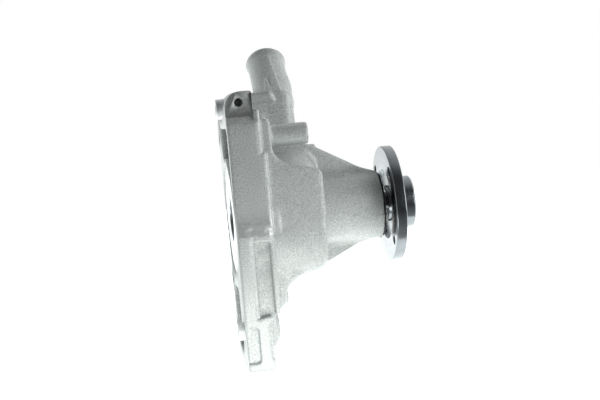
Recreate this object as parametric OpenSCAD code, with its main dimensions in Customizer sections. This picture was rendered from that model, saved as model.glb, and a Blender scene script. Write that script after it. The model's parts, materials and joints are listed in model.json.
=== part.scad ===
// Engine water pump with a cast housing, an integral shaft bearing and a four-hole drive flange.
// Frame: +X runs along the shaft to the nose, +Z is up, and X = 0 is the engine mounting face.
// The -Y side carries the drilled ear, and the hose spigot leans to the +Y side.

/* [Shaft line] */
// Diameter of the shaft where the hub and the impeller are pressed on
shaft_d = 15.92; // [15.5:0.01:16.5]
// Diameter of the drive flange
flange_d = 80; // [76:1:88]
// Distance from the mounting face to the rear of the drive flange
flange_x = 108.1; // [107.5:0.1:112]
// Thickness of the drive flange
flange_t = 7.2; // [6:0.2:9]
// Diameter of the pilot nose
nose_d = 35.8; // [32:0.1:40]
// Distance from the mounting face to the end of the nose
nose_x = 126.8; // [124:0.1:130]
// Pitch circle diameter of the four flange holes
flange_pcd = 65; // [62:1:68]
// Diameter of the flange holes
flange_hole_d = 6.4; // [5:0.1:7]

/* [Bearing] */
// Outer diameter of the bearing race
race_d = 38.1; // [37.6:0.1:38.4]
// Number of balls
ball_count = 8; // [6:1:8]
// Number of rollers
roller_count = 10; // [8:1:11]

/* [Casting] */
// Diameter of the bearing snout at its front end
snout_d = 46.4; // [45:0.2:47]
// Distance from the mounting face to the end of the snout
snout_x = 103.2; // [103:0.1:103.4]
// Half width of the casting on the ear side
ear_side = 48; // [47.5:0.5:49]
// Half width of the mounting flange on the hose side
hose_side = 40; // [39:0.5:42]
// Height of the chamber top above the shaft
chamber_top = 68; // [67:0.5:69]
// Depth of the mounting flange's foot below the shaft
foot_z = 98; // [97:0.5:100]
// Clearance diameter of the engine bolt holes
bolt_hole_d = 8.5; // [8.4:0.1:9]

/* [Hose spigot] */
// Outer diameter of the hose spigot
spigot_d = 26.2; // [25:0.2:27]
// Bore of the hose spigot
spigot_bore_d = 19.6; // [18:0.2:20]
// Lean of the spigot from upright, towards the +Y side
spigot_lean = 50; // [48:1:52]

/* [Impeller] */
// Diameter of the impeller
impeller_d = 55; // [50:1:56]
// Number of impeller vanes
vane_count = 7; // [5:1:8]

/* [Hidden] */
$fn = 72;
eps = 0.01;
cut = 1;

// Shaft and raceways
shaft_r = shaft_d / 2;
raceway_r = 9.48;
shaft_tail_x = 13;
shaft_nose_x = nose_x - 3;
race_x0 = 60;
race_x1 = 102.4;
race_r = race_d / 2;
race_bore_r = 15.64;
ball_x = 70;
ball_r = 3.97;
ball_pitch_r = 12.75;
ball_gap = 0.14;
roller_x0 = 81;
roller_x1 = 92;
roller_r = 2.95;
roller_pitch_r = 12.56;

// Casting stations along the shaft
plate_t = 8;
rim_x = 24.5;
rim_top_x = 21.7;
chamber_x = 28.4;
volute_x = 60.2;
volute_r = 42.5;
wall = 4.7;
side_y = 43;
front_wall_x = 55;
snout_root_r = 25;

// Rear cover seat
cover_r = 37;
cover_seat = 3;
cover_t = 2;
gasket_t = 0.5;
cover_eye_r = 15.5;
inlet_r = 28.5;
screw_circle_r = 32.8;
screw_count = 6;
screw_r = 2;
screw_head_r = 3.6;
screw_len = 8.4;
rear_wall_x = 9;

// Seal pocket
pocket_r = 18.2;
pocket_x0 = 41;
seal_wall_r = 23;

// Upper lug, ear and spigot
ear_x = 18.2;
ear_top = 86;
ear_face = 42.5;
ear_hole = [9.3, 78.8];
ear_hole_r = 2.8;
ear_hole_depth = 11;
spigot_at = [38.8, 22, 85.5];
spigot_end = 32.4;
hose_from = 10.5;
bead_r = spigot_d / 2 + 1.2;
riser_x0 = 18;
riser_x1 = 52.2;
riser_y0 = 0.4;
riser_y1 = 36;
riser_top = 84;

// Bolt holes through the mounting flange, as [y, z, boss radius, boss end x]
bolts = [
    [-18, 76, 9.5, ear_x],
    [38, 55, 9, 55],
    [34, -44, 9, 22],
    [-30, -73, 9.5, 23.4],
    [33, -76, 10, 23.4]
];
dowel_len = 10;
dowel_out = 4.4;
dowel_r = 6.1;
dowel_seat_r = 6.35;
bracket_boss = [-30, 55];
bracket_boss_r = 7.3;

// Placing helpers: a flat outline is drawn in (Y, Z), (X, Z) or turned about the shaft as (x, r)
module along_x(x0, x1) translate([x0, 0, 0]) rotate([90, 0, 90]) linear_extrude(x1 - x0) children();
module along_y(y0, y1) translate([0, y1, 0]) rotate([90, 0, 0]) linear_extrude(y1 - y0) children();
module along_z(z0, z1) translate([0, 0, z0]) linear_extrude(z1 - z0) children();
module rod(x0, x1, r, y = 0, z = 0) translate([x0, y, z]) rotate([0, 90, 0]) cylinder(h = x1 - x0, r = r);
module turned(profile) rotate([0, 90, 0]) rotate_extrude() polygon([for (p = profile) [p[1], p[0]]]);
module ring(x0, x1, r_in, r_out) turned([[x0, r_in], [x1, r_in], [x1, r_out], [x0, r_out]]);
module around_x(count, first = 0) for (i = [0 : count - 1]) rotate([first + i * 360 / count, 0, 0]) children();

// Flat rectangle with true arcs at its corners
module rounded(u0, u1, v0, v1, r) {
    translate([u0 + r, v0]) square([u1 - u0 - 2 * r, v1 - v0]);
    translate([u0, v0 + r]) square([u1 - u0, v1 - v0 - 2 * r]);
    for (u = [u0 + r, u1 - r], v = [v0 + r, v1 - r]) translate([u, v]) circle(r);
}

// Along the spigot's own axis, measured from the point where it leaves the riser
module spigot_rod(t0, t1, r) {
    translate(spigot_at) rotate([-spigot_lean, 0, 0]) translate([0, 0, t0]) cylinder(h = t1 - t0, r = r);
}

// ---------------------------------------------------------------- casting

module flange_outline() {
    rounded(-ear_side, hose_side, -12, chamber_top, 5);
    rounded(-ear_side, hose_side - 3, -foot_z, 10, 6);
    for (i = [1 : 4]) translate([bolts[i][0], bolts[i][1]]) circle(bolts[i][2]);
}

// Rim that stands proud of the chamber on the ear side, stepped at its front edge
module ear_side_rim() {
    along_y(-ear_side, -side_y + 6) {
        rounded(0, rim_x, -8, 45, 2.5);
        rounded(0, rim_top_x, 0, chamber_top, 2.5);
    }
    along_y(-ear_side + 1, -side_y + 8) rounded(ear_x - 6, rim_top_x, 40, 73.5, 1.7);
}

// Drilled lug on top of the flange, rounded towards the engine
module ear_lug() {
    along_y(-ear_face, -8.5) intersection() {
        rounded(-12, ear_x, 40, ear_top, 1.6);
        union() {
            translate([0, 40]) square([ear_x, 36]);
            translate([10.5, 75.5]) circle(10.5);
            translate([10.5, 70]) square([ear_x - 10.5, 20]);
        }
    }
}

// Flat side wall of the volute with its rising front corner
module volute_side() {
    along_y(-side_y, -16) {
        polygon([[20, -4], [20, 60], [28.4, 60], [28.4, 46], [33.3, 38.4], [40, 36.2],
            [56.2, 31.6], [60.2, 26.5], [60.2, -4]]);
        rounded(20, chamber_x, 40, 67, 3.5);
    }
}

module volute_shell() {
    turned([[12, 0], [12, volute_r], [49, volute_r], [57.6, 40.2], [volute_x, 37.4], [volute_x, 0]]);
    volute_side();
    along_x(0, chamber_x) rounded(-side_y, 36, -8, chamber_top - 1, 7);
}

module snout_and_gussets() {
    turned([[volute_x - 4, 0], [volute_x - 4, snout_root_r], [snout_x - 1.2, snout_d / 2],
        [snout_x, snout_d / 2 - 1.2], [snout_x, 0]]);
    along_y(-4.5, 6) polygon([[26, 8], [26, 57], [61, 45.5], [99.5, 23], [99.5, 8]]);
    along_y(-4, 4) polygon([[54, -8], [54, -38.5], [63.9, -36.7], [92.2, -23.2], [92.2, -8]]);
    rod(59, 63.2, 2.3, 5, 43.6);
}

module riser_and_spigot() {
    along_z(30, riser_top) {
        rounded(riser_x0, riser_x1, riser_y0, riser_y1, 8);
        translate([riser_x0, riser_y0]) square([12, riser_y1 - riser_y0]);
    }
    spigot_rod(-17, hose_from, spigot_d / 2);
    spigot_rod(hose_from - 1, spigot_end, spigot_d / 2 - 0.1);
    spigot_rod(spigot_end - 3.6, spigot_end - 1, bead_r);
    translate(spigot_at) rotate([-spigot_lean, 0, 0]) {
        translate([0, 0, spigot_end - 5.6]) cylinder(h = 2, r1 = spigot_d / 2 - 0.1, r2 = bead_r);
        translate([0, 0, spigot_end - 1]) cylinder(h = 1, r1 = bead_r, r2 = bead_r - 1);
    }
}

// Discharge leg below the volute, with the small boss under its throat
module discharge_leg() {
    along_x(0, 20.8) rounded(-40, 32, -84, -10, 6);
    along_x(0, 17.8) rounded(-40, 32, -foot_z + 1, -60, 6);
    along_y(-30, 26) polygon([[14, -24], [42, -38], [36, -42.8], [32.6, -45.6], [30.8, -49.5],
        [30, -56], [26, -60], [20.6, -63], [14, -63]]);
    rod(18, 33.8, 6.1, -6, -55);
    along_y(-ear_side, -38) {
        rounded(0, 17.8, -foot_z, -62, 2);
        translate([0, -64]) square([plate_t, 60]);
    }
    along_y(-ear_side + 1.2, -38) {
        rounded(0, 22.4, -24, -4, 2);
        rounded(20.4, 24, -62, -8, 1.7);
    }
}

module bolt_bosses() {
    for (i = [1 : 4]) rod(0, bolts[i][3], bolts[i][2] - 1, bolts[i][0], bolts[i][1]);
    rod(20, 54.2, bracket_boss_r, bracket_boss[0], bracket_boss[1]);
}

// Flow passages: suction room behind the upper port, volute around the impeller, discharge duct
module suction_outline(keep_out_r) difference() {
    rounded(-ear_side + 9.5, 28.5, 6, chamber_top - 5.8, 6);
    circle(keep_out_r);
    translate([38, 55]) circle(12.5);
}

module suction_port_outline() intersection() {
    suction_outline(41.5);
    translate([-60, 0]) square([74, 80]);
}

module passages() {
    along_x(-cut, 5) suction_port_outline();
    along_x(4.5, chamber_x - wall) suction_outline(volute_r);
    along_z(46.5, riser_top - 8) rounded(riser_x0 + wall, riser_x1 - wall, riser_y0 + wall, 28, 5);
    along_x(14, 30) rounded(riser_y0 + wall, 25, 46.5, 62, 4);
    spigot_rod(-13, spigot_end + cut, spigot_bore_d / 2);
    difference() {
        rod(rear_wall_x, front_wall_x, volute_r - wall);
        rod(pocket_x0 - 1, front_wall_x + cut, seal_wall_r);
    }
    along_x(-cut, 6) rounded(-15, 22, -91, -47, 7);
    along_x(5, 17) rounded(-34, 25, -60, -34, 6);
    along_x(5, 17) rounded(-15, 22, -91, -40, 7);
    along_x(10, 24.5) rounded(-20, 20, -57, -30, 6);
}

module shaft_line_bores() {
    rod(-cut, cover_seat, cover_r + 0.15);
    rod(0, rear_wall_x + cut, inlet_r);
    rod(pocket_x0 - 2, front_wall_x, pocket_r);
    rod(front_wall_x - cut, race_x0, 13.2);
    rod(race_x0 - 0.4, snout_x + cut, race_r);
    around_x(screw_count, 15) rod(0, cover_seat + screw_len, screw_r, 0, screw_circle_r);
    // Weep passage below the slinger and its vent on the other side
    for (a = [205, -25]) rotate([a, 0, 0]) translate([57.6, 0, 0]) cylinder(h = 60, r = 1.9);
}

module mounting_cuts() {
    for (b = bolts) rod(-cut, 60, bolt_hole_d / 2, b[0], b[1]);
    for (i = [0, 3]) rod(-cut, dowel_len - dowel_out, dowel_seat_r, bolts[i][0], bolts[i][1]);
    rod(35, 56, 3.4, bracket_boss[0], bracket_boss[1]);
    rod(26.6, 35, 2.5, -6, -55);
    // Blind tapped hole in the ear, with its countersink
    translate([ear_hole[0], -ear_face - eps, ear_hole[1]]) rotate([-90, 0, 0]) {
        cylinder(h = ear_hole_depth, r = ear_hole_r);
        cylinder(h = 0.9, r1 = ear_hole_r + 0.9, r2 = ear_hole_r);
    }
    // Milled face of the ear
    along_y(-ear_side - cut, -ear_face) translate([-cut, chamber_top + 0.4]) square([ear_x + cut, 30]);
    // Cored pockets of the leg on the ear side
    along_y(-ear_side - cut, -40.5) rounded(11, 20.4, -61, -17, 2.5);
    along_y(-ear_side - cut, -ear_side + 4) rounded(-4, 8.2, -92.4, -69, 2);
    along_y(-ear_side - cut, -ear_side + 3) rounded(15.2, 26, -91, -66.5, 2);
}

module pump_housing() color("#b4b8b6") difference() {
    union() {
        along_x(0, plate_t) flange_outline();
        ear_side_rim();
        ear_lug();
        volute_shell();
        snout_and_gussets();
        riser_and_spigot();
        discharge_leg();
        bolt_bosses();
    }
    passages();
    shaft_line_bores();
    mounting_cuts();
    // Machined mounting face
    translate([-60, -100, -150]) cube([60, 220, 320]);
}

// ---------------------------------------------------------------- rear cover

module rear_cover() color("#c9ccd0") difference() {
    ring(cover_seat - gasket_t - cover_t, cover_seat - gasket_t, cover_eye_r, cover_r);
    around_x(screw_count, 15) translate([0, 0, screw_circle_r]) rotate([0, 90, 0]) {
        cylinder(h = cover_seat, r = screw_r + 0.2);
        translate([0, 0, cover_seat - gasket_t - cover_t]) cylinder(h = 1.6, r1 = screw_head_r, r2 = screw_r);
    }
}

module cover_gasket() color("#5d5a4c") difference() {
    ring(cover_seat - gasket_t, cover_seat, inlet_r, cover_r);
    around_x(screw_count, 15) rod(0, cover_seat + 1, screw_r + 0.3, 0, screw_circle_r);
}

module cover_screws() color("#d8dadc") around_x(screw_count, 15) {
    x0 = cover_seat - gasket_t - cover_t;
    translate([x0, 0, screw_circle_r]) rotate([0, 90, 0]) difference() {
        union() {
            cylinder(h = 1.6, r1 = screw_head_r, r2 = screw_r);
            translate([0, 0, 1.5]) cylinder(h = screw_len, r = screw_r);
        }
        for (a = [0, 90]) rotate([0, 0, a]) translate([-2, -0.45, -cut]) cube([4, 0.9, 1 + cut]);
    }
}

module ring_dowel(at) color("#9a9da1") {
    translate([-dowel_out, at[0], at[1]]) rotate([0, 90, 0]) difference() {
        union() {
            cylinder(h = 0.6, r1 = dowel_r - 0.6, r2 = dowel_r);
            translate([0, 0, 0.6]) cylinder(h = dowel_out - 0.6, r = dowel_r);
            translate([0, 0, dowel_out]) cylinder(h = dowel_len - dowel_out, r = dowel_seat_r);
        }
        translate([0, 0, -cut]) cylinder(h = dowel_len + 2 * cut, r = bolt_hole_d / 2);
    }
}
module upper_ring_dowel() ring_dowel(bolts[0]);
module lower_ring_dowel() ring_dowel(bolts[3]);

// ---------------------------------------------------------------- bearing and shaft

module bearing_outer_race() color("#8d9196") difference() {
    turned([[race_x0, 16.6], [race_x0, race_r - 0.6], [race_x0 + 0.6, race_r], [race_x1 - 0.6, race_r],
        [race_x1, race_r - 0.6], [race_x1, 16.6], [race_x1 - 3, 16.6], [race_x1 - 3, race_bore_r],
        [race_x0 + 3, race_bore_r], [race_x0 + 3, 16.6]]);
    ball_groove();
}

module ball_groove() translate([ball_x, 0, 0]) rotate([0, 90, 0])
    rotate_extrude() translate([ball_pitch_r, 0]) circle(ball_r + ball_gap);

module pump_shaft() color("#a7abb0") difference() {
    turned([[shaft_tail_x, 0], [shaft_tail_x, shaft_r - 0.8], [shaft_tail_x + 0.8, shaft_r], [60.6, shaft_r],
        [62, raceway_r], [100.6, raceway_r], [102, shaft_r], [shaft_nose_x - 0.8, shaft_r],
        [shaft_nose_x, shaft_r - 0.8], [shaft_nose_x, 0]]);
    ball_groove();
    translate([shaft_nose_x - 4, 0, 0]) rotate([0, 90, 0]) cylinder(h = 4.1, r1 = 0, r2 = 2.6);
    translate([shaft_tail_x - 0.1, 0, 0]) rotate([0, 90, 0]) cylinder(h = 4.1, r1 = 2.6, r2 = 0);
}

module bearing_balls() color("#c6cacf") around_x(ball_count)
    translate([ball_x, 0, ball_pitch_r]) sphere(ball_r);

module ball_cage() color("#3a3c40") difference() {
    ring(ball_x - 4.6, ball_x + 3.4, 11.5, 14);
    around_x(ball_count) translate([ball_x, 0, ball_pitch_r]) sphere(ball_r + ball_gap);
}

module bearing_rollers() color("#c6cacf") around_x(roller_count)
    rod(roller_x0, roller_x1, roller_r, 0, roller_pitch_r);

module roller_cage() color("#3a3c40") difference() {
    ring(roller_x0 - 2.5, roller_x1 + 2.5, 11.4, 13.8);
    around_x(roller_count) rod(roller_x0 - 0.2, roller_x1 + 0.2, roller_r + 0.15, 0, roller_pitch_r);
}

// Lip seal with a stiffened rim and one lip that wipes the shaft
module lip_seal(x0, x1, lip_x) turned([[x0, 16.6], [x0, 11.4], [lip_x - 0.5, raceway_r + 0.06],
    [lip_x + 0.5, raceway_r + 0.06], [x1, 11.4], [x1, 16.6]]);
module rear_bearing_seal() color("#2b2b2d") lip_seal(race_x0 + 0.4, race_x0 + 3, race_x0 + 2.4);
module front_bearing_seal() color("#2b2b2d") lip_seal(race_x1 - 3, race_x1 - 0.4, race_x1 - 2.4);

// ---------------------------------------------------------------- pieces that turn with the shaft

module dust_shield() color("#1d1e20") turned([[103.7, shaft_r], [103.7, 21.9], [104.2, 22.4], [104.6, 22.4],
    [104.6, 11.4], [106.2, 10.4], [106.2, shaft_r]]);

module slinger() color("#77797c") turned([[56.2, shaft_r], [56.2, 9.4], [57, 9.4], [58.2, 11.6], [59, 11.6],
    [57.8, 9], [59.6, 9], [59.6, shaft_r]]);

module drive_hub() color("#4b4f54") {
    recess_x = flange_x + 2.8;
    face_x = flange_x + flange_t;
    difference() {
        turned([[flange_x + 0.4, 8.6], [flange_x + 0.4, 12], [recess_x, 12.6], [recess_x, 23], [flange_x, 24.6],
            [flange_x, flange_d / 2 - 0.5], [flange_x + 0.5, flange_d / 2], [face_x - 0.5, flange_d / 2],
            [face_x, flange_d / 2 - 0.5], [face_x, nose_d / 2 + 0.8], [face_x + 0.8, nose_d / 2],
            [nose_x - 1, nose_d / 2], [nose_x, nose_d / 2 - 1], [nose_x, 12], [nose_x - 3, 11],
            [nose_x - 3, shaft_r], [flange_x + 1.1, shaft_r]]);
        around_x(4, 45) rod(flange_x - cut, face_x + cut, flange_hole_d / 2, 0, flange_pcd / 2);
    }
}

module impeller() color("#6f6a62") {
    disc_x0 = 16;
    disc_x1 = 19;
    vane_x0 = 4.8;
    difference() {
        union() {
            ring(disc_x0, disc_x1, shaft_r, impeller_d / 2);
            turned([[11, shaft_r], [11, 11], [disc_x0, 13.5], [disc_x0 + 1, 13.5], [disc_x0 + 1, shaft_r]]);
            turned([[disc_x1 - 1, shaft_r], [disc_x1 - 1, 21], [34, 20.4], [34, 17.6], [29, 17.6], [29, shaft_r]]);
            around_x(vane_count) along_x(vane_x0, disc_x0 + 1) impeller_vane();
        }
        around_x(3, 30) rod(0, 28, 1.6, 0, 24);
    }
}

// Vane outline: part of a ring whose centre is set off the shaft, so it sweeps backwards
module impeller_vane() intersection() {
    translate([17, -9]) difference() {
        circle(18.6);
        circle(16.2);
    }
    difference() {
        circle(impeller_d / 2 - 0.3);
        circle(12);
    }
    translate([-30, 0]) square([40, 30]);
}

// ---------------------------------------------------------------- mechanical seal

module seal_case() color("#c8a45a") turned([[pocket_x0 - 0.9, pocket_r - 0.9], [pocket_x0 - 0.9, 20.6],
    [pocket_x0, 20.6], [pocket_x0, pocket_r], [54.6, pocket_r], [54.6, 9.6], [46, 9.6], [46, 10.4],
    [53.8, 10.4], [53.8, pocket_r - 0.9]]);

module seal_bellows() color("#222224") turned([[40.2, 10.9], [40.2, 13], [42.6, 13], [43.6, 12.2], [50.4, 12.2],
    [51.4, 17.2], [53.7, 17.2], [53.7, 10.9]]);

// Open coil of round wire about the shaft, from x0 to x1
module coil_spring(x0, x1, coil_r, wire_r, turns, steps = 84, sides = 8) {
    function turned_by(i) = i / steps * turns * 360;
    function centre(i) = [x0 + wire_r + i / steps * (x1 - x0 - 2 * wire_r),
        coil_r * cos(turned_by(i)), coil_r * sin(turned_by(i))];
    function wire(i, k) = let (a = turned_by(i), b = k * 360 / sides, u = wire_r * cos(b))
        centre(i) + [wire_r * sin(b), u * cos(a), u * sin(a)];
    polyhedron(
        points = [for (i = [0 : steps], k = [0 : sides - 1]) wire(i, k)],
        faces = concat(
            [[for (k = [0 : sides - 1]) k]],
            [for (i = [0 : steps - 1], k = [0 : sides - 1]) let (n = (k + 1) % sides)
                [i * sides + k, (i + 1) * sides + k, (i + 1) * sides + n, i * sides + n]],
            [[for (k = [sides - 1 : -1 : 0]) steps * sides + k]]
        )
    );
}

module seal_spring() color("#b9bcc0") coil_spring(x0 = 42.6, x1 = 50.2, coil_r = 14.6, wire_r = 0.9, turns = 3.5);

module carbon_ring() color("#2a2a2b") turned([[35.6, 11.2], [35.6, 13.6], [36.6, 13.8], [36.6, 15.2],
    [40.1, 15.2], [40.1, 11.2]]);

module carbon_ring_shell() color("#c2c5c9") turned([[37.4, 15.25], [37.4, 16.1], [42.5, 16.1], [42.5, 13.1],
    [41.7, 13.1], [41.7, 15.25]]);

module mating_ring() color("#e9e6dc") ring(31, 35.5, 9.6, 16);

module mating_ring_cup() color("#262628") turned([[29, 8.1], [29, 17.5], [34.6, 17.5], [34.6, 16.05],
    [30.95, 16.05], [30.95, 9.5], [30.2, 8.1]]);

pump_housing();
rear_cover();
cover_gasket();
cover_screws();
upper_ring_dowel();
lower_ring_dowel();
bearing_outer_race();
pump_shaft();
bearing_balls();
ball_cage();
bearing_rollers();
roller_cage();
front_bearing_seal();
rear_bearing_seal();
dust_shield();
drive_hub();
slinger();
seal_case();
seal_bellows();
seal_spring();
carbon_ring();
carbon_ring_shell();
mating_ring();
mating_ring_cup();
impeller();
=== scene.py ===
"""Engine water pump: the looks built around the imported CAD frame. Metres, in the row's own frame."""
import json
import math

import bmesh
import bpy
import numpy as np
import openvdb
from mathutils import Matrix, Vector


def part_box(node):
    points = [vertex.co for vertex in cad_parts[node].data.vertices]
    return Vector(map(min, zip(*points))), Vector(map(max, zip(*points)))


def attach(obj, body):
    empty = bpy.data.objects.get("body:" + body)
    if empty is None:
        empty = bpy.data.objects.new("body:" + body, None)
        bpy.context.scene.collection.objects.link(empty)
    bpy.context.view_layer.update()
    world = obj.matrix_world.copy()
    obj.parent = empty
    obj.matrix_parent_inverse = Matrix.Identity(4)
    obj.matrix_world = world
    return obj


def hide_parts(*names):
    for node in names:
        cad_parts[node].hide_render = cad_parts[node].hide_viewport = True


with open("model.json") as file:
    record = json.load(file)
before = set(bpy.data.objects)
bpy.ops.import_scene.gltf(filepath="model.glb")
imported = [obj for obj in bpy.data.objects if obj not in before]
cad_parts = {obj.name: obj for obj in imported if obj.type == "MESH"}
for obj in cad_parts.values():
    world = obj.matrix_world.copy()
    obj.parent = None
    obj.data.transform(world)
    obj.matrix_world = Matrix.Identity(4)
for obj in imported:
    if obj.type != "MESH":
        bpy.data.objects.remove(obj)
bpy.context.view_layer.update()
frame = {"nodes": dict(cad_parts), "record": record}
MM = 0.001


# ---------------------------------------------------------------- materials

class Shader:
    """A node material around one Principled shader, with short calls for the usual procedural nodes."""

    def __init__(self, name, color, metallic, roughness, **sockets):
        self.material = bpy.data.materials.new(name)
        self.material.use_nodes = True
        self.tree = self.material.node_tree
        self.bsdf = self.tree.nodes["Principled BSDF"]
        self.bsdf.inputs["Base Color"].default_value = (*color, 1)
        self.bsdf.inputs["Metallic"].default_value = metallic
        self.bsdf.inputs["Roughness"].default_value = roughness
        for key, value in sockets.items():
            self.bsdf.inputs[key.replace("_", " ")].default_value = value
        self.place = self.node("ShaderNodeTexCoord").outputs["Object"]

    def node(self, kind, inputs=None, **settings):
        made = self.tree.nodes.new(kind)
        for key, value in settings.items():
            setattr(made, key, value)
        for key, value in (inputs or {}).items():
            if isinstance(value, bpy.types.NodeSocket):
                self.tree.links.new(value, made.inputs[key])
            else:
                made.inputs[key].default_value = value
        return made

    def to(self, socket, value):
        self.tree.links.new(value, self.bsdf.inputs[socket])

    def math(self, kind, a, b=0.0, clamp=False):
        return self.node("ShaderNodeMath", {0: a, 1: b}, operation=kind, use_clamp=clamp).outputs[0]

    def noise(self, scale, detail=2.0, rough=0.5, at=None, distortion=0.0):
        return self.node("ShaderNodeTexNoise", {"Vector": at or self.place, "Scale": scale, "Detail": detail,
                                                "Roughness": rough, "Distortion": distortion}).outputs["Fac"]

    def spread(self, value, low, high, to_low, to_high):
        return self.node("ShaderNodeMapRange", {"Value": value, "From Min": low, "From Max": high,
                                                "To Min": to_low, "To Max": to_high}).outputs["Result"]

    def blend(self, factor, a, b):
        made = self.node("ShaderNodeMix", {"Factor": factor}, data_type="RGBA")
        for socket, value in ((made.inputs[6], a), (made.inputs[7], b)):
            if isinstance(value, bpy.types.NodeSocket):
                self.tree.links.new(value, socket)
            else:
                socket.default_value = (*value, 1)
        return made.outputs[2]

    def bump(self, height, distance, strength=1.0, over=None):
        inputs = {"Height": height, "Distance": distance, "Strength": strength}
        if over is not None:
            inputs["Normal"] = over
        return self.node("ShaderNodeBump", inputs).outputs["Normal"]

    def round_axis(self):
        """(distance along the shaft, radius from it, angle about it) for turned surfaces."""
        split = self.node("ShaderNodeSeparateXYZ", {0: self.place})
        x, y, z = split.outputs
        radius = self.math("SQRT", self.math("ADD", self.math("MULTIPLY", y, y), self.math("MULTIPLY", z, z)))
        return x, radius, self.math("ARCTAN2", z, y)

    def turning_lines(self, pitch, stretch=0.0006):
        """Noise along the shaft and the radius, and hardly round the shaft: a lathe tool's marks."""
        x, radius, angle = self.round_axis()
        at = self.node("ShaderNodeCombineXYZ", {0: x, 1: radius, 2: self.math("MULTIPLY", angle, stretch)})
        return self.noise(1 / pitch, 3.0, 0.6, at=at.outputs[0])


def cast_alloy(name, color, depth=1.0, fettled=False):
    """Shot-blasted casting skin, fine grit with a soft shine; fettled adds the belt-ground strip."""
    s = Shader(name, color, 0.45, 0.55)
    grit = s.noise(1250, 3.0, 0.65)
    pits = s.noise(640, 2.0, 0.5)
    cloud = s.noise(46, 3.0, 0.5, distortion=0.4)
    dark = tuple(c * 0.66 for c in color)
    light = tuple(min(1.0, c * 1.26) for c in color)
    mottled = s.blend(s.spread(grit, 0.36, 0.64, 0.0, 1.0), dark, light)
    skin = s.blend(s.spread(cloud, 0.35, 0.7, 0.0, 0.35), mottled, tuple(c * 0.93 for c in color))
    rough = s.spread(s.math("ADD", pits, s.math("MULTIPLY", cloud, 0.5)), 0.5, 1.0, 0.5, 0.64)
    strength = 0.8
    if fettled:
        x, y, z = s.node("ShaderNodeSeparateXYZ", {0: s.place}).outputs
        belt = s.math("MULTIPLY", s.spread(z, 0.013, -0.001, 0.0, 0.7),
                      s.spread(z, -0.0096, -0.0088, 0.0, 1.0))
        belt = s.math("MULTIPLY", belt, s.spread(y, -0.0425, -0.0445, 0.0, 1.0))
        streak = s.node("ShaderNodeCombineXYZ", {0: x, 1: s.math("MULTIPLY", z, 0.04)}).outputs[0]
        belt = s.math("MULTIPLY", belt, s.spread(s.noise(420, 2.0, 0.5, at=streak), 0.3, 0.7, 0.8, 1.0))
        skin = s.blend(belt, skin, (0.6, 0.61, 0.61))
        rough = s.math("SUBTRACT", rough, s.math("MULTIPLY", belt, 0.27))
        s.to("Metallic", s.spread(belt, 0.0, 1.0, 0.45, 1.0))
        strength = s.spread(belt, 0.0, 0.8, 0.8, 0.1)
    s.to("Base Color", skin)
    s.to("Roughness", rough)
    s.to("Normal", s.bump(grit, 0.00016 * depth, strength, s.bump(pits, 0.0002 * depth, 0.5)))
    return s.material


def milled_alloy(name):
    """Face-milled aluminium: shallow arcs from the cutter, with a slow change in shine."""
    s = Shader(name, (0.66, 0.68, 0.69), 1.0, 0.3)
    moved = s.node("ShaderNodeMapping", {"Vector": s.place, "Location": (0.31, 0.37, 0.52)}).outputs[0]
    split = s.node("ShaderNodeSeparateXYZ", {0: moved})
    _, y, z = split.outputs
    arc = s.math("SQRT", s.math("ADD", s.math("MULTIPLY", y, y), s.math("MULTIPLY", z, z)))
    at = s.node("ShaderNodeCombineXYZ", {0: arc, 1: split.outputs[0]}).outputs[0]
    lines = s.noise(1800, 3.0, 0.6, at=at)
    stain = s.noise(60, 3.0, 0.5)
    s.to("Base Color", s.blend(s.spread(stain, 0.35, 0.7, 0, 1), (0.58, 0.6, 0.61), (0.7, 0.72, 0.73)))
    s.to("Roughness", s.spread(s.math("ADD", lines, stain), 0.7, 1.3, 0.24, 0.4))
    s.to("Normal", s.bump(lines, 0.00003, 0.6))
    return s.material


def turned_metal(name, color, roughness, pitch=0.0006, depth=0.00003, anisotropic=0.0, spots=0.25):
    s = Shader(name, color, 1.0, roughness, Anisotropic=anisotropic)
    lines = s.turning_lines(pitch)
    film = s.noise(70, 4.0, 0.55, distortion=0.5)
    dark = tuple(c * (1 - spots) for c in color)
    s.to("Base Color", s.blend(s.spread(film, 0.38, 0.66, 0, 1), dark, color))
    s.to("Roughness", s.spread(s.math("ADD", lines, s.math("MULTIPLY", film, 0.5)), 0.55, 0.95,
                               roughness * 0.8, roughness * 1.25))
    s.to("Normal", s.bump(lines, depth, 0.7))
    if anisotropic:
        s.to("Tangent", s.node("ShaderNodeTangent", direction_type="RADIAL", axis="X").outputs[0])
    return s.material


def moulded(name, color, roughness, grain=900, depth=0.00008, metallic=0.0):
    s = Shader(name, color, metallic, roughness)
    fine = s.noise(grain, 3.0, 0.6)
    cloud = s.noise(90, 3.0, 0.5)
    s.to("Base Color", s.blend(s.spread(cloud, 0.35, 0.7, 0, 1), tuple(c * 0.72 for c in color),
                               tuple(min(1, c * 1.15) for c in color)))
    s.to("Roughness", s.spread(fine, 0.3, 0.7, roughness * 0.85, min(1, roughness * 1.15)))
    s.to("Normal", s.bump(fine, depth, 0.7))
    return s.material


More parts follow.
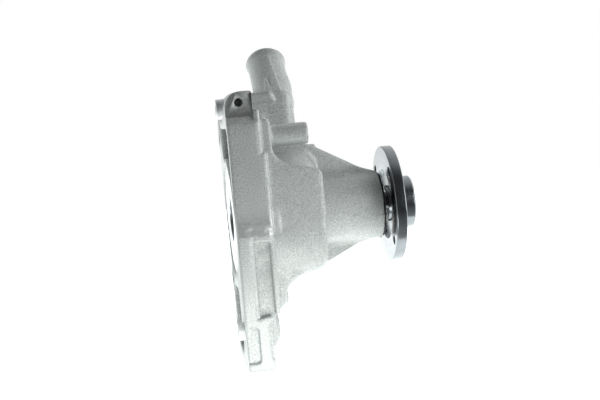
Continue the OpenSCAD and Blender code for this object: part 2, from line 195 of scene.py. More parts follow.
CAST = cast_alloy("cast_aluminium", (0.51, 0.53, 0.52), fettled=True)
# Inside of the deeper drilled holes: near-black base colour, painted shade standing in for the dark inside the
# holes
DRILLED_HOLE_SHADE = turned_metal("drilled_hole_painted_shade", (0.1, 0.1, 0.1), 0.5, 0.0004)
CAST_IRON = cast_alloy("cast_iron", (0.2, 0.185, 0.17), 0.8)
MILLED = milled_alloy("milled_aluminium")
BORED = turned_metal("bored_aluminium", (0.66, 0.67, 0.68), 0.3, 0.0005)
HUB = turned_metal("turned_steel", (0.24, 0.255, 0.27), 0.2, 0.0009, 0.000012, 0.3, 0.15)
GROUND = turned_metal("ground_steel", (0.58, 0.59, 0.6), 0.24, 0.0003, 0.00001, 0.4)
POLISHED = turned_metal("polished_steel", (0.74, 0.75, 0.77), 0.12, 0.0002, 0.000004, 0.0, 0.1)
ZINC = turned_metal("zinc_plate", (0.66, 0.68, 0.7), 0.32, 0.0008, 0.00002, 0.0, 0.3)
DOWEL = moulded("plated_dowel", (0.8, 0.81, 0.82), 0.45, 900, 0.00002, 0.3)
SPRING = turned_metal("spring_steel", (0.6, 0.61, 0.63), 0.25, 0.0003, 0.00001)
BRASS = turned_metal("drawn_brass", (0.68, 0.5, 0.24), 0.3, 0.0006)
NITRILE = moulded("nitrile_rubber", (0.022, 0.022, 0.024), 0.55)
CARBON = moulded("carbon_graphite", (0.045, 0.045, 0.048), 0.38, 1500, 0.00003, 0.2)
CERAMIC = moulded("alumina_ceramic", (0.84, 0.82, 0.76), 0.25, 1500, 0.00001)
NYLON = moulded("glass_filled_nylon", (0.05, 0.05, 0.054), 0.5)
FIBRE = moulded("gasket_fibre", (0.16, 0.14, 0.1), 0.85, 700, 0.0001)

BY_SLOT = {"casting": CAST, "turned_steel": HUB, "ground_steel": GROUND, "polished_steel": POLISHED,
           "zinc_plate": ZINC, "spring_steel": SPRING, "cast_iron": CAST_IRON,
           "brass": BRASS, "nitrile": NITRILE,
           "carbon": CARBON, "ceramic": CERAMIC, "cage_plastic": NYLON, "gasket_fibre": FIBRE}
for part in frame["record"]["subparts"]:
    node = frame["nodes"][part["node"]]
    node.data.materials.clear()
    node.data.materials.append(BY_SLOT[part["material_slot"]])


# ---------------------------------------------------------------- mesh helpers

def new_object(name, mesh, *materials):
    made = bpy.data.objects.new(name, mesh)
    bpy.context.scene.collection.objects.link(made)
    for m in materials:
        mesh.materials.append(m)
    return made


def mesh_from(name, points, faces, slot_index=0):
    mesh = bpy.data.meshes.new(name)
    mesh.from_pydata([tuple(p) for p in points], [], [tuple(f) for f in faces])
    mesh.polygons.foreach_set("material_index", [slot_index] * len(mesh.polygons))
    return mesh


def turned_mesh(name, profile, segments, slot_index=0, x_axis=(0, 0, 0)):
    """Closed profile of (x, r) in millimetres, turned about the shaft's direction. r = 0 closes it."""
    points, rings = [], []
    for x, r in profile:
        if r <= 1e-6:
            rings.append([len(points)])
            points.append((x, 0.0, 0.0))
        else:
            rings.append(list(range(len(points), len(points) + segments)))
            for k in range(segments):
                a = 2 * math.pi * k / segments
                points.append((x, r * math.cos(a), r * math.sin(a)))
    faces = []
    for a, b in zip(rings, rings[1:] + rings[:1]):
        if len(a) == 1 and len(b) == 1:
            continue
        for k in range(segments):
            n = (k + 1) % segments
            if len(a) == 1:
                faces.append((a[0], b[n], b[k]))
            elif len(b) == 1:
                faces.append((a[k], a[n], b[0]))
            else:
                faces.append((a[k], a[n], b[n], b[k]))
    mesh = mesh_from(name, [((p[0] + x_axis[0]) * MM, (p[1] + x_axis[1]) * MM, (p[2] + x_axis[2]) * MM)
                            for p in points], faces, slot_index)
    bm = bmesh.new()
    bm.from_mesh(mesh)
    bmesh.ops.recalc_face_normals(bm, faces=bm.faces)
    bm.to_mesh(mesh)
    bm.free()
    return mesh


def box_mesh(name, low, high, slot_index=0):
    (a, b, c), (d, e, f) = [[v * MM for v in p] for p in (low, high)]
    points = [(a, b, c), (d, b, c), (d, e, c), (a, e, c), (a, b, f), (d, b, f), (d, e, f), (a, e, f)]
    faces = [(0, 3, 2, 1), (4, 5, 6, 7), (0, 1, 5, 4), (1, 2, 6, 5), (2, 3, 7, 6), (3, 0, 4, 7)]
    return mesh_from(name, points, faces, slot_index)


def rod_mesh(name, x0, x1, r, y=0.0, z=0.0, slot_index=0, segments=64, mouth=0.0):
    """Cylinder along the shaft's direction; mouth opens its x1 end (x0 if negative) into a small cone."""
    profile = [(x0, 0), (x0, r), (x1, r), (x1, 0)]
    if mouth > 0:
        profile = [(x0, 0), (x0, r), (x1 - mouth - 0.5, r), (x1 - 0.5, r + mouth), (x1, r + mouth), (x1, 0)]
    if mouth < 0:
        profile = [(x0, 0), (x0, r - mouth), (x0 + 0.5, r - mouth), (x0 + 0.5 - mouth, r), (x1, r), (x1, 0)]
    return turned_mesh(name, profile, segments, slot_index, (0, y, z))


def combine(base, others, kind):
    """Boolean of base with each mesh in others, by the manifold solver; returns the finished mesh."""
    holder = new_object("work", base)
    for other in others:
        tool = new_object("tool", other)
        for o in (holder, tool):
            while len(o.data.materials) < 4:
                o.data.materials.append(None)
        step = holder.modifiers.new("step", "BOOLEAN")
        step.operation, step.solver, step.object = kind, "MANIFOLD", tool
        bpy.context.view_layer.update()
        done = bpy.data.meshes.new_from_object(holder.evaluated_get(bpy.context.evaluated_depsgraph_get()))
        holder.modifiers.clear()
        holder.data = done
        bpy.data.objects.remove(tool)
    mesh = holder.data
    bpy.data.objects.remove(holder)
    return mesh


def moved(mesh, matrix):
    mesh.transform(matrix)
    return mesh


def set_shading(mesh, angle=35, soft_slots=()):
    """Smooth faces, with edges sharp where two finishes meet and, off the soft finishes, at a real corner."""
    bm = bmesh.new()
    bm.from_mesh(mesh)
    limit = math.radians(angle)
    for f in bm.faces:
        f.smooth = True
    for e in bm.edges:
        if len(e.link_faces) == 2:
            a, b = e.link_faces
            if a.material_index != b.material_index:
                e.smooth = e.calc_face_angle(0.0) < math.radians(20)
            elif a.material_index not in soft_slots:
                e.smooth = e.calc_face_angle(0.0) < limit
    bm.to_mesh(mesh)
    bm.free()


# ---------------------------------------------------------------- casting, a distance field in millimetres

VOXEL = 0.7
AXES = [np.arange(a, b, VOXEL, dtype=np.float32) for a, b in ((-2.5, 106.0), (-50.5, 60.0), (-100.5, 118.5))]
field = np.full([len(a) for a in AXES], 8.0, dtype=np.float32)


def fillet(a, b, r):
    """Union of two distances with a fillet of radius r in the corner between them."""
    return np.maximum(r, np.minimum(a, b)) - np.hypot(np.maximum(r - a, 0), np.maximum(r - b, 0))


def meet(a, b, r):
    """Intersection of two distances with the edge between them rounded to radius r."""
    return np.minimum(-r, np.maximum(a, b)) + np.hypot(np.maximum(r + a, 0), np.maximum(r + b, 0))


def rect(u, v, u0, u1, v0, v1, r):
    a = np.abs(u - (u0 + u1) / 2) - (u1 - u0) / 2 + r
    b = np.abs(v - (v0 + v1) / 2) - (v1 - v0) / 2 + r
    return np.minimum(np.maximum(a, b), 0) + np.hypot(np.maximum(a, 0), np.maximum(b, 0)) - r


def disc(u, v, cu, cv, r):
    return np.hypot(u - cu, v - cv) - r


def prism(flat, w, w0, w1, r):
    """A flat distance drawn out along w, with its long edges rounded to r."""
    a = flat + r
    b = np.abs(w - (w0 + w1) / 2) - (w1 - w0) / 2 + r
    return np.minimum(np.maximum(a, b), 0) + np.hypot(np.maximum(a, 0), np.maximum(b, 0)) - r


def outline(u, v, points, r=0.0):
    """Distance to a polygon given anticlockwise, its outer corners rounded to r."""
    p = np.array(points, dtype=np.float64)
    if r:
        edge = np.roll(p, -1, 0) - p
        edge /= np.linalg.norm(edge, axis=1)[:, None]
        normal = np.stack([-edge[:, 1], edge[:, 0]], 1)
        before = np.roll(normal, 1, 0)
        p = p + (before + normal) * (r / (1 + (before * normal).sum(1)))[:, None]
    u, v = np.broadcast_arrays(u, v)
    best = np.full(u.shape, 1e9, dtype=np.float32)
    inside = np.zeros(u.shape, dtype=bool)
    for (au, av), (bu, bv) in zip(p, np.roll(p, -1, 0)):
        eu, ev = bu - au, bv - av
        t = np.clip(((u - au) * eu + (v - av) * ev) / (eu * eu + ev * ev), 0, 1)
        best = np.minimum(best, (u - au - t * eu) ** 2 + (v - av - t * ev) ** 2)
        inside ^= ((av > v) != (bv > v)) & (u < au + eu * (v - av) / (ev if ev else 1e-9))
    return np.where(inside, -1, 1) * np.sqrt(best) - r


def turned(x, radius, points, r=0.0):
    """Distance to a profile of (x, r) turned about the shaft, read from a fine table over the radius."""
    steps = np.arange(0, 90, 0.25, dtype=np.float32)
    table = outline(x.reshape(-1, 1), steps.reshape(1, -1), points, r)
    return np.stack([np.interp(radius[0], steps, row) for row in table]).astype(np.float32)


def region(box, pad):
    keep = [slice(max(0, int(np.searchsorted(a, lo - pad))), int(np.searchsorted(a, hi + pad)))
            for a, (lo, hi) in zip(AXES, box)]
    x, y, z = [a[k] for a, k in zip(AXES, keep)]
    return tuple(keep), x[:, None, None], y[None, :, None], z[None, None, :]


def add(box, shape, r=2.0):
    keep, x, y, z = region(box, r + 3)
    field[keep] = fillet(field[keep], shape(x, y, z), r)


def take(box, shape, r=0.6):
    keep, x, y, z = region(box, r + 3)
    field[keep] = meet(field[keep], -shape(x, y, z), r)


BOLTS = [(38, 55, 9, 55), (34, -44, 9, 22), (-30, -73, 9.5, 23.4), (33, -76, 10, 23.4)]
EAR_BOLT = (-18, 76)
LEAN = math.radians(50)
SPIGOT = (38.8, 22.0, 85.5)


def on_spigot(x, y, z):
    """Across the spigot in X, across it away from the engine's top side, and along it."""
    dy, dz = y - SPIGOT[1], z - SPIGOT[2]
    return (x - SPIGOT[0], dy * math.cos(LEAN) - dz * math.sin(LEAN),
            dy * math.sin(LEAN) + dz * math.cos(LEAN))


def mounting_flange(x, y, z):
    flat = np.minimum(rect(y, z, -48, 40, -12, 68, 5), rect(y, z, -48, 37, -98, 10, 6))
    for by, bz, r, _ in BOLTS:
        flat = fillet(flat, disc(y, z, by, bz, r), 5)
    return prism(flat, x, -6, 8, 1.2)


def chamber(x, y, z):
    return prism(rect(y, z, -43, 36, -8, 67, 7), x, -8, 28.4, 2.0)


def chamber_rim(x, y, z):
    side = np.minimum(rect(x, z, -8, 24.4, -9, 45.6, 2.6), rect(x, z, -8, 21.6, -9, 69, 2.6))
    turn = rect(y, z, -48, 20, -9, 69, 6.5)
    return np.maximum(prism(side, y, -48, -20, 2.6), prism(turn, x, -12, 40, 1.0))


def ear_rib(x, y, z):
    return prism(rect(x, z, 17.9, 21.7, 40, 73.6, 1.8), y, -47.2, -36, 1.4)


def ear(x, y, z):
    side = np.maximum(rect(x, z, -12, 18.2, 40, 86, 1.8), rect(x, z, 0, 60, -50, 86, 10.5))
    return prism(side, y, -44.5, -8.5, 0.9)


def volute_wall(x, y, z):
    body = outline(x, z, [(6, -0.5), (60.2, -0.5), (60.2, 30.3), (6, 45.7)], 5.5)
    body = np.minimum(body, rect(x, z, 10, 60.2, -0.5, 12, 0.2))
    return prism(fillet(body, rect(x, z, 4, 28.4, -0.5, 67, 3.5), 9), y, -43, -14, 1.3)


def ease(value, start, end):
    t = np.clip((value - start) / (end - start), 0, 1)
    return t * t * (3 - 2 * t)


def scroll_radius(y, z):
    """Distance from the shaft, squared up below on the ear side, where the scroll runs into the throat."""
    fuller = (np.abs(y) ** 3.6 + np.abs(z) ** 3.6) ** (1 / 3.6)
    return np.where((y < 0) & (z < 0), fuller, np.hypot(y, z))


def volute_drum(x, y, z):
    """Round side of the volute, drawn in to the front below, with one soft step where the scroll grows."""
    radius = scroll_radius(y, z)
    drum = turned(x, radius, [(6, -9), (60.2, -9), (60.2, 43), (6, 43)], 1.3)
    crown = turned(x, radius, [(6, -9), (60.2, -9), (60.2, 34), (53, 41), (44, 43), (6, 43)], 3)
    drum = drum + (crown - drum) * ease(z, 0, 18)
    under = outline(x, z, [(-20, -43.6), (34, -43.4), (50, -40.6), (57.5, -37.2),
                           (62, -31), (62, 60), (-20, 60)])
    step = outline(x, z, [(20, 20), (20, -37), (40, -35.5), (49, -31), (51.5, -27), (42, -12), (42, 20)], 3)
    return meet(drum, under, 5) - 0.7 * ease(-step, -1.5, 2.5) * ease(-z, 6, 14)


def volute_band(x, y, z):
    radius = scroll_radius(y, z)
    ring = np.maximum(turned(x, radius, [(20, -9), (29.4, -9), (29.4, 43.45), (20, 43.45)], 0.4), z - 15)
    return np.maximum(ring, y + 8)


def snout(x, y, z):
    return turned(x, np.hypot(y, z), [(54, -9), (103.9, -9), (103.9, 23.2), (60.2, 25.0), (54, 25.2)], 0.8)


def top_gusset(x, y, z):
    return prism(outline(x, z, [(26, 8), (99.5, 8), (99.5, 23), (61, 44.9), (26, 57)], 1.5), y, -4.5, 6, 2.0)


def low_gusset(x, y, z):
    web = outline(x, z, [(54, -38.5), (63.9, -36.7), (92.2, -23.2), (92.2, -8), (54, -8)], 1.5)
    return prism(web, y, -4.2, 4.2, 1.8)


def riser(x, y, z):
    plan = fillet(rect(x, y, 18, 52.2, 0.4, 36, 8), rect(x, y, 18, 30, 0.4, 36, 2), 1)
    front = outline(x, z, [(10, 20), (54, 20), (50.4, 84), (10, 84)])
    corner = outline(x, z, [(10, 20), (54, 20), (50.2, 84), (10, 84)], 9)
    return meet(prism(plan, z, 10, 84, 1.4), np.where(x > 36, corner, front), 0.8)


def riser_ledge(x, y, z):
    return prism(outline(x, z, [(18, 77), (38, 78), (35, 84.9), (18, 84.6)], 1.2), y, -0.9, 8, 1.2)


def spigot(x, y, z):
    u, w, t = on_spigot(x, y, z)
    across = np.hypot(np.where(u > 0, u / (1 + 0.08 * ease(t, 16, 2) * ease(t, -12, -2)), u), w)
    tube = prism(across - 13.1, t, -17, 32.4, 0.9)
    return fillet(tube, prism(across - 14.3, t, 27.6, 31.9, 2.1), 1.2)


def spigot_ribs(x, y, z):
    u, w, t = on_spigot(x, y, z)
    long = outline(u, t, [(-3.1, -16), (4.2, -16), (2.3, 8), (1.3, 22.8), (-1.3, 22.8), (-1.7, 8)], 0.5)
    short = outline(u, t, [(-6.8, -16), (-2.3, -16), (-3.8, -3), (-4.6, 3.5)], 0.5)
    return prism(np.minimum(long, short), w, -13.65, -8, 0.5)


def leg(x, y, z):
    upper = prism(rect(y, z, -41.8, 32, -84, -6, 6), x, -8, 20.8, 1.6)
    lower = prism(rect(y, z, -41.8, 32, -97, -60, 6), x, -8, 17.8, 1.6)
    return fillet(upper, lower, 1.5)


def leg_frame(x, y, z):
    """Flanks of the leg's recess on the ear side: the band by the engine, head bar and front ridge."""
    band = prism(rect(x, z, -8, 10.6, -64, -6, 1.2), y, -46.9, -30, 2.2)
    head = prism(rect(x, z, -8, 22.2, -13.2, 2, 1.5), y, -47.6, -30, 1.6)
    shelf = prism(rect(x, z, 4, 22.4, -24, -2, 1.0), y, -44.2, -30, 0.9)
    ridge = prism(rect(x, z, 20.6, 24, -62, -6, 1.5), y, -46.4, -30, 1.2)
    return fillet(fillet(band, head, 1.2), fillet(shelf, ridge, 1.0), 1.0)


def foot(x, y, z):
    block = outline(x, z, [(-8, -98), (17.8, -98), (17.8, -61.6), (-8, -65.8)], 1.6)
    return prism(block, y, -48, -30, 1.3)


def throat(x, y, z):
    side = [(14, -63), (20.6, -63), (26, -60), (30, -56), (30.8, -49.5), (32.6, -45.6), (36, -42.8),
            (42, -38), (14, -24)]
    return prism(outline(x, z, side, 1.2), y, -38, 26, 5.0)


def rounded_rod(x0, x1, r, cy, cz, edge=1.0):
    return lambda x, y, z: prism(disc(y, z, cy, cz, r), x, x0, x1, edge)


def build_casting():
    add(((-6, 8), (-48, 48), (-98, 68)), mounting_flange)
    add(((-8, 29), (-43, 36), (-8, 67)), chamber, 2.5)
    add(((6, 61), (-45, 45), (-45, 45)), volute_drum, 3)
    add(((4, 61), (-43, -14), (-18, 67)), volute_wall, 0.0)
    add(((54, 104), (-26, 26), (-26, 26)), snout, 2.2)
    add(((26, 100), (-5, 6), (8, 57)), top_gusset, 5)
    add(((54, 93), (-5, 5), (-39, -8)), low_gusset, 3)
    add(((18, 53), (0, 36), (26, 84)), riser, 3)
    add(((18, 46), (-1, 8), (76, 86)), riser_ledge, 1.5)
    add(((24, 54), (-6, 58), (68, 117)), spigot, 3.5)
    add(((28, 48), (-8, 50), (78, 117)), spigot_ribs, 0.5)
    add(((12, 42), (-38, 26), (-63, -24)), throat, 5)
    add(((-8, 21), (-42, 32), (-97, -6)), leg, 2)
    for by, bz, r, end in BOLTS:
        add(((0, end), (by - r, by + r), (bz - r, bz + r)), rounded_rod(-6, end + 0.6, r - 1, by, bz), 3)
    add(((20, 55), (-38, -22), (47, 63)), rounded_rod(16, 54.2, 7.3, -30, 55, 1.3), 2.2)
    add(((59, 65), (2, 8), (41, 47)), rounded_rod(52, 63.6, 2.4, 4.6, 43.6, 1.6), 1.0)
    add(((18, 34), (-13, 1), (-62, -48)), rounded_rod(14, 34.4, 6.1, -6, -55, 0.8), 2)
    add(((-8, 25), (-48, -20), (-9, 69)), chamber_rim, 0.5)
    add(((20, 30), (-45, -8), (-45, 16)), volute_band, 0.5)
    add(((-8, 25), (-48, -30), (-64, 2)), leg_frame, 0.3)
    add(((-8, 18), (-48, -30), (-98, -61)), foot, 0.3)
    add(((17, 22), (-48, -36), (40, 74)), ear_rib, 0.4)
    add(((-6, 19), (-45, -8), (40, 86)), ear, 0.6)

    # Pockets that the core leaves on the ear side of the foot
    take(((-8, 9), (-52, -43), (-93, -68)), lambda x, y, z: prism(
        rect(x, z, -12, 8.4, -92.4, -68.6, 2.5), y, -60, -45.2, 1.2))
    take(((15, 24), (-52, -44), (-92, -66)), lambda x, y, z: prism(
        rect(x, z, 15.4, 40, -91, -66.4, 2), y, -60, -45.4, 1.2))

    # Flow passages
    def suction(inner, y1):
        def flat(y, z):
            room = meet(rect(y, z, -38.5, 28.5, 6, 62.2, 6), inner - np.hypot(y, z), 2)
            return np.maximum(meet(room, 12.5 - np.hypot(y - 38, z - 55), 2), y - y1)
        return flat
    room, port = suction(42.7, 99), suction(41.5, 14)
    take(((-3, 24), (-39, 29), (6, 63)), lambda x, y, z: np.minimum(prism(room(y, z), x, 4.5, 23.7, 1.5),
                                                                   prism(port(y, z), x, -20, 8, 0.1)), 0.4)
    take(((22, 48), (5, 28), (46, 76)), lambda x, y, z: prism(
        rect(x, y, 22.7, 47.5, 5.1, 28, 5), z, 46.5, 76, 2))
    take(((14, 30), (5, 25), (46, 62)), lambda x, y, z: prism(rect(y, z, 5.1, 25, 46.5, 62, 4), x, 14, 30, 1))
    take(((24, 54), (8, 58), (70, 118)), lambda x, y, z: prism(
        np.hypot(*on_spigot(x, y, z)[:2]) - 9.8, on_spigot(x, y, z)[2], -13, 40, 1), 0.8)
    take(((9, 55), (-38, 38), (-38, 38)), lambda x, y, z: turned(
        x, np.hypot(y, z), [(9, -9), (40, -9), (40, 23), (55, 23), (55, 37.8), (9, 37.8)], 0.8), 0.4)
    lower = (((-3, 8), (-15, 22), (-91, -47), 7, 0.1), ((5, 17), (-34, 25), (-60, -34), 6, 1.5),
             ((5, 17), (-15, 22), (-91, -40), 7, 1.5), ((10, 24.5), (-20, 20), (-57, -30), 6, 1.5))
    for xs, ys, zs, corner, edge in lower:
        take((xs, ys, zs), lambda x, y, z, a=xs, b=ys, c=zs, k=corner, e=edge: prism(
            rect(y, z, *b, *c, k), x, a[0] if a[0] > 0 else -20, a[1], e), 0.4)

    grid = openvdb.FloatGrid(background=3.0)
    grid.copyFromArray(np.clip(field, -3, 3))
    points, triangles, quads = grid.convertToPolygons(isovalue=0.0, adaptivity=0.03)
    points = (points * VOXEL + np.array([a[0] for a in AXES])) * MM
    mesh = bpy.data.meshes.new("casting")
    mesh.from_pydata(points.tolist(), [], triangles[:, ::-1].tolist() + quads[:, ::-1].tolist())
    bm = bmesh.new()
    bm.from_mesh(mesh)
    bmesh.ops.remove_doubles(bm, verts=bm.verts, dist=1e-7)
    bmesh.ops.recalc_face_normals(bm, faces=bm.faces)
    bm.to_mesh(mesh)
    bm.free()
    return mesh


def machining():
    """What the machine shop cuts from the casting: slot 1 is milled, slot 2 is bored or drilled, slot 3 is the
    deeper drilled holes, painted near-black as the shade inside them.
    """
    cuts = [box_mesh("face", (-9, -60, -110), (0, 70, 120), 1),
            box_mesh("ear_face", (-9, -60, 69.4), (17.95, -42.5, 95), 1)]
    cuts.append(turned_mesh("bores", [(-1, 0), (-1, 37.15), (3, 37.15), (3, 28.5), (10, 28.5), (10, 0)],
                            144, 2))
    cuts.append(turned_mesh("seal_seat", [(39, 0), (39, 18.9), (40, 18.2), (55, 18.2), (55, 13.2),
                                          (59.6, 13.2),
                                          (59.6, 19.05), (102.7, 19.05), (103.25, 19.6), (103.25, 30), (108, 30),
                                          (108, 0)], 144, 2))
    for y, z, r, end in BOLTS:
        cuts.append(rod_mesh("bolt", -2, end + 0.5, 4.25, y, z, 3, 48, 0.5))
        cuts.append(turned_mesh("spot", [(end, 0), (end, r + 0.6), (end + 6, r + 0.6), (end + 6, 0)],
                                64, 2, (0, y, z)))
    cuts.append(rod_mesh("bolt", -2, 60, 4.25, *EAR_BOLT, 3, 48))
    for y, z in (EAR_BOLT, (-30, -73)):
        cuts.append(rod_mesh("dowel", -0.5, 5.6, 6.35, y, z, 2, 64, -0.3))
    cuts.append(rod_mesh("bracket", 35, 54.7, 3.4, -30, 55, 3, 48, 0.7))
    cuts.append(turned_mesh("bracket_end", [(53.9, 0), (53.9, 9), (58, 9), (58, 0)], 64, 2, (0, -30, 55)))
    cuts.append(rod_mesh("small", 26.6, 34.4, 2.5, -6, -55, 3, 48, 0.5))
    cuts.append(turned_mesh("small_end", [(33.9, 0), (33.9, 8), (38, 8), (38, 0)], 64, 2, (0, -6, -55)))
    for k in range(6):
        a = math.radians(15 + 60 * k)
        cuts.append(rod_mesh("screw", 1, 11.4, 2, -32.8 * math.sin(a), 32.8 * math.cos(a), 2, 24))
    for a in (205, -25):
        weep = moved(rod_mesh("weep", 0, 60, 1.9, 0, 0, 3, 32), Matrix.Rotation(-math.pi / 2, 4, "Y"))
        cuts.append(moved(weep, Matrix.Translation((57.6 * MM, 0, 0))
                          @ Matrix.Rotation(math.radians(a), 4, "X")))
    ear_hole = turned_mesh("ear_hole", [(-2, 0), (-2, 3.25), (0, 3.25), (0.45, 2.8), (10, 2.8),
                                        (11.6, 0)], 64, 3)
    ear_hole.transform(Matrix.Translation((9.3 * MM, -42.5 * MM, 78.8 * MM))
                       @ Matrix.Rotation(math.pi / 2, 4, "Z"))
    return cuts + [ear_hole]


casting = new_object("cast_housing", combine(build_casting(), machining(), "DIFFERENCE"))
casting.data.materials.clear()
for m in (CAST, MILLED, BORED, DRILLED_HOLE_SHADE):
    casting.data.materials.append(m)
set_shading(casting.data, 35, soft_slots=(0,))
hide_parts("pump_housing")
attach(casting, "housing")
print("casting faces", len(casting.data.polygons), "vertices", len(casting.data.vertices))


# ---------------------------------------------------------------- turned pieces

def soften(profile, r, steps=4):
    """Rounds every corner of a closed (x, r) profile that stands off the axis."""
    out = []
    for i, (x, y) in enumerate(profile):
        if y <= 1e-6:
            out.append((x, y))
            continue
        p = Vector((x, y))
        a = Vector(profile[i - 1]) - p
        b = Vector(profile[(i + 1) % len(profile)]) - p
        reach = min(r, a.length * 0.45, b.length * 0.45)
        if reach < 1e-4 or abs(a.normalized().dot(b.normalized())) > 0.995:
            out.append((x, y))
            continue
        start, end = p + a.normalized() * reach, p + b.normalized() * reach
        for k in range(steps + 1):
            t = k / steps
            q = start * (1 - t) ** 2 + p * 2 * t * (1 - t) + end * t * t
            out.append((q.x, q.y))
    return out


def finish_piece(name, mesh, materials, nodes, body, angle=30):
    made = new_object(name, mesh)
    made.data.materials.clear()
    for m in materials:
        made.data.materials.append(m)
    set_shading(made.data, angle)
    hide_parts(*nodes)
    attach(made, body)
    return made


def drive_hub():
    low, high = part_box("drive_hub")
    x0, nose, rim = low[0] / MM, high[0] / MM, high[2] / MM
    face = x0 + 7.2
    profile = [(x0 + 0.4, 8.7), (x0 + 0.4, 12.0), (x0 + 2.8, 12.6), (x0 + 2.8, 23.0), (x0, 24.5),
               (x0, rim - 0.5),
               (x0 + 0.5, rim), (face - 0.5, rim), (face, rim - 0.5), (face, 18.9), (face + 0.25, 18.55),
               (face + 0.25, 18.2), (face + 0.9, 17.9), (nose - 1.0, 17.9), (nose, 16.9), (nose, 12.2),
               (nose - 3.0, 11.0), (nose - 3.0, 8.4), (nose - 3.5, 7.96), (x0 + 1.1, 7.96)]
    body = turned_mesh("hub", soften(profile, 0.28), 192)
    holes = []
    for k in range(4):
        a = math.radians(45 + 90 * k)
        y, z = -32.5 * math.sin(a), 32.5 * math.cos(a)
        cone = [(x0 - 2, 0), (x0 - 2, 3.75), (x0, 3.75), (x0 + 0.55, 3.2), (face - 0.55, 3.2), (face, 3.75),
                (face + 2, 3.75), (face + 2, 0)]
        holes.append(turned_mesh("hole", cone, 48, 0, (0, y, z)))
    return finish_piece("drive_flange", combine(body, holes, "DIFFERENCE"), [HUB], ["drive_hub"], "rotor",
                        28)


def dust_shield():
    profile = [(103.7, 7.96), (103.7, 21.4), (103.9, 22.1), (104.25, 22.4), (104.6, 22.3), (104.75, 21.8),
               (104.6, 20.9), (104.5, 11.6), (105.0, 10.9), (106.2, 10.4), (106.2, 7.96)]
    return finish_piece("rubber_dust_shield", turned_mesh("shield", soften(profile, 0.2), 160), [NITRILE],
                        ["dust_shield"], "rotor")


def shaft():
    low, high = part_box("pump_shaft")
    profile = [(13.0, 0), (13.0, 7.16), (13.8, 7.96), (60.6, 7.96), (62, 9.48), (66.0, 9.48)]
    profile += [(70 + 4.11 * math.sin(a), 12.75 - 4.11 * math.cos(a))
                for a in (math.radians(k) for k in range(-36, 37, 9))]
    nose = high[0] / MM
    profile += [(74.0, 9.48), (100.6, 9.48), (102, 7.96), (nose - 0.8, 7.96), (nose, 7.16), (nose, 2.7),
                (nose - 0.5, 2.3),
                (nose - 3.6, 0)]
    return finish_piece("bearing_shaft", turned_mesh("shaft", profile, 144), [GROUND], ["pump_shaft"],
                        "rotor",
                        24)


def ring_dowel(node, name):
    low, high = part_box(node)
    cy, cz = [(low[k] + high[k]) / 2 / MM for k in (1, 2)]
    x0, x1 = low[0] / MM, high[0] / MM
    profile = [(x0, 4.75), (x0, 5.5), (x0 + 0.6, 6.1), (0.0, 6.1), (0.0, 6.35), (x1, 6.35), (x1, 4.65),
               (x1 - 0.4, 4.25),
               (x0 + 0.5, 4.25)]
    return finish_piece(name, turned_mesh("dowel", soften(profile, 0.15), 96, 0, (0, cy, cz)), [DOWEL],
                        [node],
                        "housing")


def rear_cover():
    """Pressed cover plate with dished screw seats."""
    profile = [(0.5, 15.9), (0.5, 36.6), (0.9, 37.0), (2.1, 37.0), (2.5, 36.6), (2.5, 15.5), (0.9, 15.5)]
    body = turned_mesh("cover", soften(profile, 0.3), 160)
    seats = []
    for k in range(6):
        a = math.radians(15 + 60 * k)
        cone = [(-1, 0), (-1, 3.75), (0.5, 3.75), (2.1, 2.2), (4, 2.2), (4, 0)]
        seats.append(turned_mesh("seat", cone, 40, 0, (0, -32.8 * math.sin(a), 32.8 * math.cos(a))))
    return finish_piece("pump_rear_cover", combine(body, seats, "DIFFERENCE"), [ZINC], ["rear_cover"],
                        "housing")


def cover_screws():
    """Six countersunk cross-recessed screws."""
    meshes = []
    for k in range(6):
        a = math.radians(15 + 60 * k)
        y, z = -32.8 * math.sin(a), 32.8 * math.cos(a)
        head = [(0.55, 0), (0.55, 3.5), (0.75, 3.6), (2.1, 2.0), (10.0, 2.0), (10.4, 1.6), (10.4, 0)]
        body = turned_mesh("screw", head, 48, 0, (0, y, z))
        cross = [box_mesh("slot", (0, y - 1.9, z - 0.42), (1.7, y + 1.9, z + 0.42)),
                 box_mesh("slot", (-0.1, y - 0.42, z - 1.9), (1.7, y + 0.42, z + 1.9))]
        meshes.append(combine(body, cross, "DIFFERENCE"))
    joined = bmesh.new()
    for m in meshes:
        joined.from_mesh(m)
    mesh = bpy.data.meshes.new("screws")
    joined.to_mesh(mesh)
    joined.free()
    return finish_piece("cover_screw_set", mesh, [ZINC], ["cover_screws"], "housing")


drive_hub()
dust_shield()
shaft()
ring_dowel("upper_ring_dowel", "upper_locating_dowel")
ring_dowel("lower_ring_dowel", "lower_locating_dowel")
rear_cover()
cover_screws()


# ---------------------------------------------------------------- stage, light and camera

def stage():
    size = 4.0
    front, level = -0.12, -0.32
    mesh = mesh_from("floor", [(-size, front, level), (size, front, level), (size, size, level),
                               (-size, size, level)], [(0, 1, 2, 3)])
    s = Shader("studio_floor", (0.92, 0.93, 0.93), 0.0, 0.9,
               Emission_Color=(0.96, 1.0, 0.985, 1), Emission_Strength=1.6)
    grain = s.noise(30, 2.0, 0.5)
    s.to("Base Color", s.blend(s.spread(grain, 0.3, 0.7, 0, 1), (0.9, 0.91, 0.91), (0.94, 0.95, 0.95)))
    new_object("floor", mesh, s.material)


def area_light(name, place, aim, width, height, power, color=(1, 1, 1)):
    lamp = bpy.data.lights.new(name, "AREA")
    lamp.shape, lamp.size, lamp.size_y, lamp.energy, lamp.color = "RECTANGLE", width, height, power, color
    made = bpy.data.objects.new(name, lamp)
    made.location = place
    made.rotation_mode = "QUATERNION"
    made.rotation_quaternion = (Vector(aim) - Vector(place)).to_track_quat("-Z", "Y")
    made.visible_camera = False
    bpy.context.scene.collection.objects.link(made)
    return made


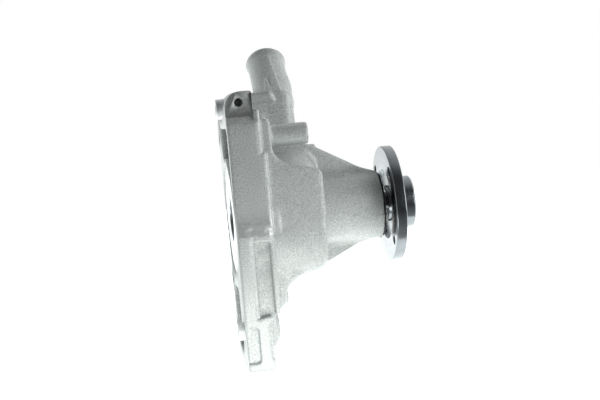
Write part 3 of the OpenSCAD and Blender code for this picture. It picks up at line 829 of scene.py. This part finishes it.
def tent():
    """White tent all round, with the dark opening that the camera looks in through on the -Y side."""
    world = bpy.data.worlds.new("tent")
    bpy.context.scene.world = world
    world.use_nodes = True
    tree = world.node_tree
    tree.nodes.clear()

    def node(kind, inputs=None, **settings):
        made = tree.nodes.new(kind)
        for key, value in settings.items():
            setattr(made, key, value)
        for key, value in (inputs or {}).items():
            if isinstance(value, bpy.types.NodeSocket):
                tree.links.new(value, made.inputs[key])
            else:
                made.inputs[key].default_value = value
        return made

    way = node("ShaderNodeTexCoord").outputs["Generated"]

    def towards(direction):
        return node("ShaderNodeVectorMath", {0: way, 1: direction}, operation="DOT_PRODUCT").outputs["Value"]

    ramp = node("ShaderNodeValToRGB", {0: node("ShaderNodeMapRange", {
        "Value": towards((0.05, -0.86, 0.5)), "From Min": -1, "From Max": 1}).outputs[0]})
    ramp.color_ramp.interpolation = "EASE"
    ramp.color_ramp.elements.remove(ramp.color_ramp.elements[0])
    ramp.color_ramp.elements[0].color = (0.06, 0.06, 0.06, 1)
    stops = ((0.0, 1.7), (0.1, 1.1), (0.18, 0.72), (0.5, 0.5), (0.72, 0.28), (0.87, 0.06))
    for place, level in stops:
        stop = ramp.color_ramp.elements.new(place)
        stop.color = (level, level, level, 1)
    left = node("ShaderNodeMapRange", {"Value": towards((-1, 0, 0)), "From Min": 0.0, "From Max": 1.0,
                                       "To Min": 1.0, "To Max": 2.0}).outputs[0]
    right = node("ShaderNodeMapRange", {"Value": towards((0.75, 0.3, 0.6)), "From Min": 0.45, "From Max": 1.0,
                                        "To Min": 0.0, "To Max": 0.7},
                 interpolation_type="SMOOTHSTEP").outputs[0]
    level = node("ShaderNodeMath", {0: ramp.outputs[0], 1: left, 2: right},
                 operation="MULTIPLY_ADD").outputs[0]
    lit = node("ShaderNodeBackground", {"Color": (0.97, 1.0, 0.995, 1), "Strength": level})
    seen = node("ShaderNodeBackground", {"Color": (1, 1, 1, 1), "Strength": 1.0})
    mix = node("ShaderNodeMixShader", {0: node("ShaderNodeLightPath").outputs["Is Camera Ray"],
                                       1: lit.outputs[0], 2: seen.outputs[0]})
    node("ShaderNodeOutputWorld", {0: mix.outputs[0]})


CAMERA_PLACE = (-0.0557, -0.8216, 0.0740)
CAMERA_RIGHT = (0.98702852, -0.13304002, -0.08986159)
CAMERA_UP = (0.09938646, 0.06676244, 0.99280676)


def camera():
    data = bpy.data.cameras.new("camera")
    data.sensor_width, data.lens = 36.0, 72.0
    data.clip_start, data.clip_end = 0.01, 50
    made = bpy.data.objects.new("camera", data)
    right = Vector(CAMERA_RIGHT).normalized()
    up = Vector(CAMERA_UP).normalized()
    back = right.cross(up).normalized()
    up = back.cross(right)
    turn = Matrix((right, up, back)).transposed().to_4x4()
    made.matrix_world = Matrix.Translation(CAMERA_PLACE) @ turn
    bpy.context.scene.collection.objects.link(made)
    bpy.context.scene.camera = made


stage()
tent()
camera()
area_light("low_front", (0.0, -0.15, -0.11), (0.0, 0.0, -0.145), 0.2, 0.1, 0.26, (0.96, 1.0, 0.98))
area_light("right_front", (0.4, -0.3, 0.08), (0.05, 0.0, 0.02), 0.25, 0.3, 1.2)
bpy.context.scene.view_settings.view_transform = "Standard"
